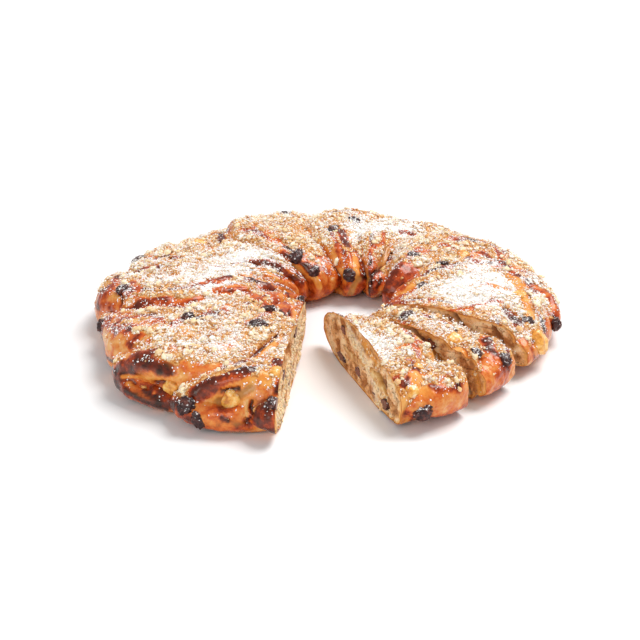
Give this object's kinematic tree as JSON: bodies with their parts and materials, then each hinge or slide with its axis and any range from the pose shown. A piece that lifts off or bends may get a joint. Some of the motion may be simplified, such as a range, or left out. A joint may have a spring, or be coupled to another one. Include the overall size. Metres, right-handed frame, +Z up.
{
  "type": "apple cinnamon kringle",
  "caption": "Flat ring loaf of folded sweet dough with apple filling, raisins, streusel and sugar, cut open with slices kept in its gap; rests on a flat underside.",
  "frame": {"origin": "middle of the loaf's bounding box, on the surface that it rests on", "axes": "+Z up; -Y towards the cut-out gap; +X to the right of a viewer who faces the gap"},
  "size_m": [0.2974, 0.2999, 0.0417],
  "materials": {
    "dough": "baked sweet dough: glossy egg-washed crust from pale gold to mahogany, soft pale crumb at the cuts",
    "filling": "moist cinnamon and apple filling",
    "raisin": "wrinkled dried fruit with a dull gloss",
    "apple": "cooked apple, moist and glossy",
    "streusel": "dry baked butter crumbs",
    "sugar": "fine powdered sugar"
  },
  "bodies": {
    "root": {"apple_01": "apple", "apple_02": "apple", "apple_03": "apple", "apple_04": "apple", "apple_05": "apple", "apple_06": "apple", "apple_07": "apple", "apple_08": "apple", "apple_09": "apple", "apple_10": "apple", "apple_11": "apple", "end_slice_dough": "dough", "end_slice_filling": "filling", "middle_slice_dough": "dough", "middle_slice_filling": "filling", "raisin_01": "raisin", "raisin_02": "raisin", "raisin_03": "raisin", "raisin_04": "raisin", "raisin_05": "raisin", "raisin_06": "raisin", "raisin_07": "raisin", "raisin_08": "raisin", "raisin_09": "raisin", "raisin_10": "raisin", "raisin_11": "raisin", "raisin_12": "raisin", "raisin_13": "raisin", "raisin_14": "raisin", "raisin_15": "raisin", "raisin_16": "raisin", "raisin_17": "raisin", "raisin_18": "raisin", "raisin_19": "raisin", "raisin_20": "raisin", "raisin_21": "raisin", "raisin_22": "raisin", "raisin_23": "raisin", "raisin_24": "raisin", "raisin_25": "raisin", "raisin_26": "raisin", "raisin_27": "raisin", "raisin_28": "raisin", "raisin_29": "raisin", "raisin_30": "raisin", "raisin_31": "raisin", "raisin_32": "raisin", "raisin_33": "raisin", "raisin_34": "raisin", "raisin_35": "raisin", "raisin_36": "raisin", "ring_dough": "dough", "ring_filling": "filling"}
  },
  "joints": []
}
